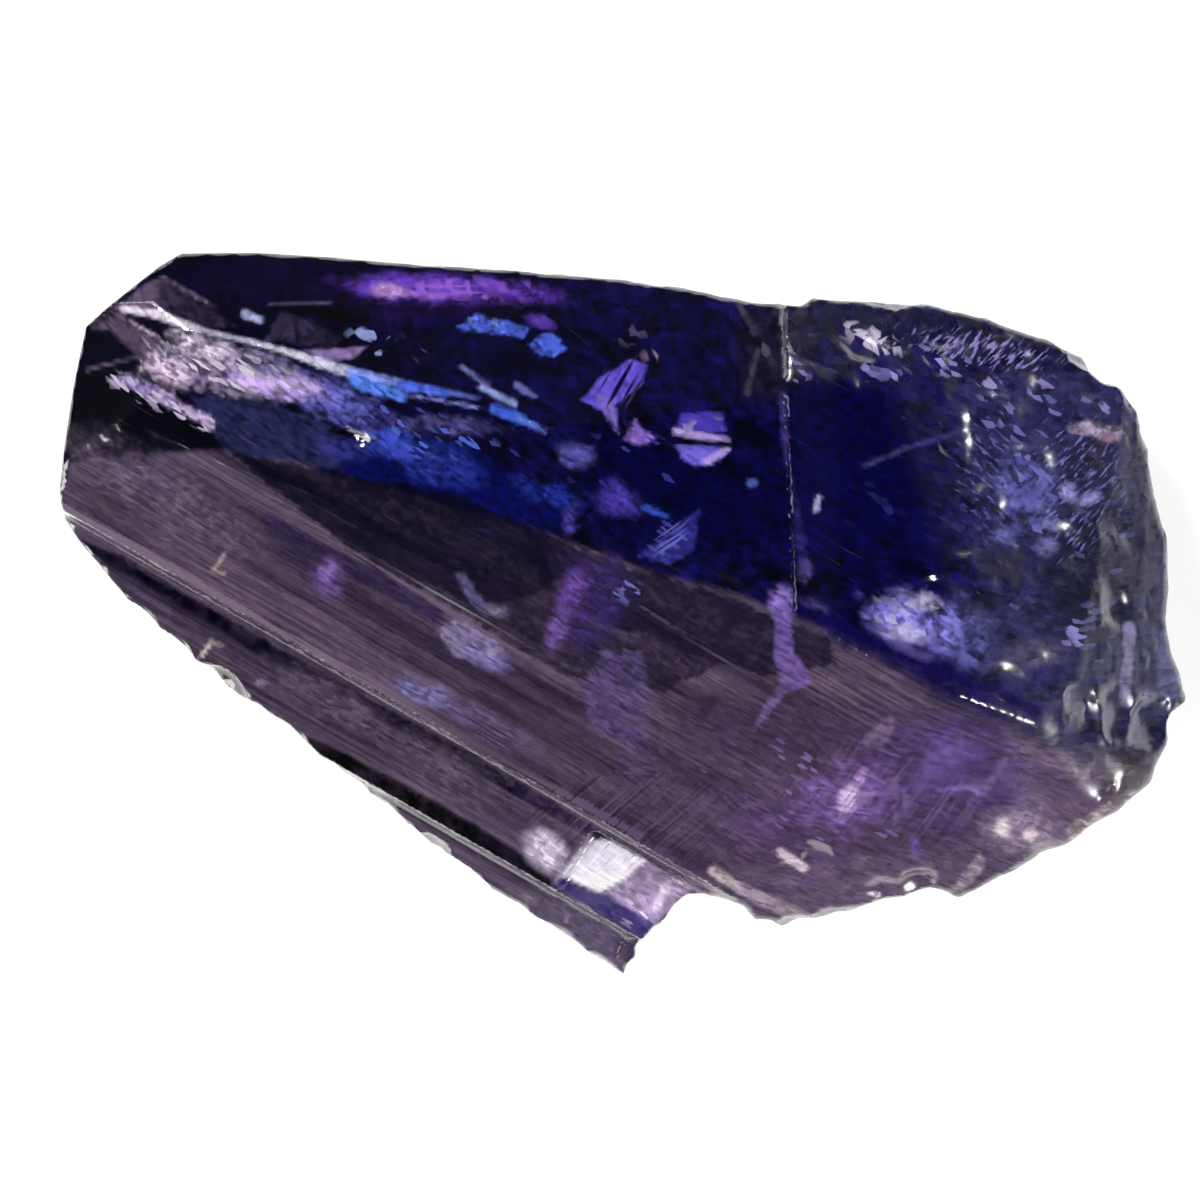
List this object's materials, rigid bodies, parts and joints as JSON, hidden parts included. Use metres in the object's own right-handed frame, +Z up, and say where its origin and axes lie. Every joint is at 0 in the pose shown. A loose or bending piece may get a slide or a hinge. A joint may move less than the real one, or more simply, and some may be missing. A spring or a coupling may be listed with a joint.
{
  "type": "rough tanzanite crystal",
  "caption": "Flattened rough tanzanite crystal with striated growth faces, a glassy end, a frosted broken end and a cleaved tip, lying on a flat face.",
  "frame": {"origin": "bottom centre of the bounding box, on the surface the stone lies on", "axes": "+X along the length towards the broken end, +Y towards the steep long side, +Z up through the thickness"},
  "size_m": [0.03, 0.0192, 0.0078],
  "materials": {
    "tanzanite": "glassy, frosted where broken"
  },
  "bodies": {
    "root": {"tanzanite_crystal": "tanzanite"}
  },
  "joints": []
}
